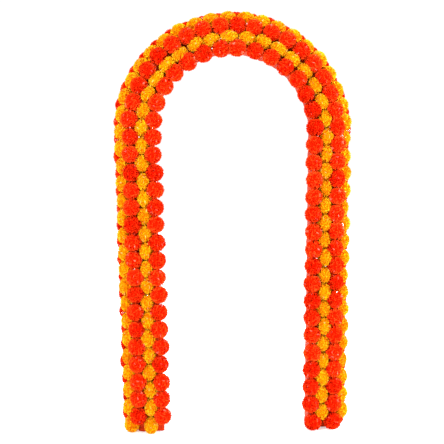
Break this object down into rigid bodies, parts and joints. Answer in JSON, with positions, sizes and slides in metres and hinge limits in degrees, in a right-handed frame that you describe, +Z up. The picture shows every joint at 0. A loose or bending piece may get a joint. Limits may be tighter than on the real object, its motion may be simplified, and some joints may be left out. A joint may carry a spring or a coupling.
{
  "type": "flower arch",
  "caption": "Free-standing walk-through arch on a padded steel tube, covered on the front, outer side and back by strings of round red and yellow garland flowers",
  "frame": {"origin": "on the floor, midway between the two legs, at the middle of the depth", "axes": "+Z up; X across the walk-through opening; the shown front faces -Y, so +Y points to the back"},
  "size_m": [1.2055, 0.292, 2.093],
  "materials": {
    "flowers_red_orange": "matt frilled artificial petals, deep red-orange",
    "flowers_yellow_orange": "matt frilled artificial petals, yellow-orange",
    "cloth_red": "plain woven red cloth, matt with a faint sheen",
    "foam": "white expanded foam, matt",
    "steel": "zinc-plated steel, satin"
  },
  "bodies": {
    "root": {"arch_tube_left": "steel", "arch_tube_right": "steel", "cloth_arch": "cloth_red", "cloth_left": "cloth_red", "cloth_right": "cloth_red", "coupler_left": "steel", "coupler_right": "steel", "coupler_top": "steel", "foam_arch_left": "foam", "foam_arch_right": "foam", "foam_left_lower": "foam", "foam_left_upper": "foam", "foam_right_lower": "foam", "foam_right_upper": "foam", "foot_left": "steel", "foot_right": "steel", "garland_red_corner_back_arch": "flowers_red_orange", "garland_red_corner_back_left": "flowers_red_orange", "garland_red_corner_back_right": "flowers_red_orange", "garland_red_corner_front_arch": "flowers_red_orange", "garland_red_corner_front_left": "flowers_red_orange", "garland_red_corner_front_right": "flowers_red_orange", "garland_red_opening_front_arch": "flowers_red_orange", "garland_red_opening_front_left": "flowers_red_orange", "garland_red_opening_front_right": "flowers_red_orange", "garland_red_side_middle_arch": "flowers_red_orange", "garland_red_side_middle_left": "flowers_red_orange", "garland_red_side_middle_right": "flowers_red_orange", "garland_yellow_middle_back_arch": "flowers_yellow_orange", "garland_yellow_middle_back_left": "flowers_yellow_orange", "garland_yellow_middle_back_right": "flowers_yellow_orange", "garland_yellow_middle_front_arch": "flowers_yellow_orange", "garland_yellow_middle_front_left": "flowers_yellow_orange", "garland_yellow_middle_front_right": "flowers_yellow_orange", "garland_yellow_side_back_arch": "flowers_yellow_orange", "garland_yellow_side_back_left": "flowers_yellow_orange", "garland_yellow_side_back_right": "flowers_yellow_orange", "garland_yellow_side_front_arch": "flowers_yellow_orange", "garland_yellow_side_front_left": "flowers_yellow_orange", "garland_yellow_side_front_right": "flowers_yellow_orange", "leg_tube_left": "steel", "leg_tube_right": "steel", "pin_foot_left": "steel", "pin_foot_right": "steel", "pin_left_a": "steel", "pin_left_b": "steel", "pin_right_a": "steel", "pin_right_b": "steel", "pin_top_a": "steel", "pin_top_b": "steel"}
  },
  "joints": []
}
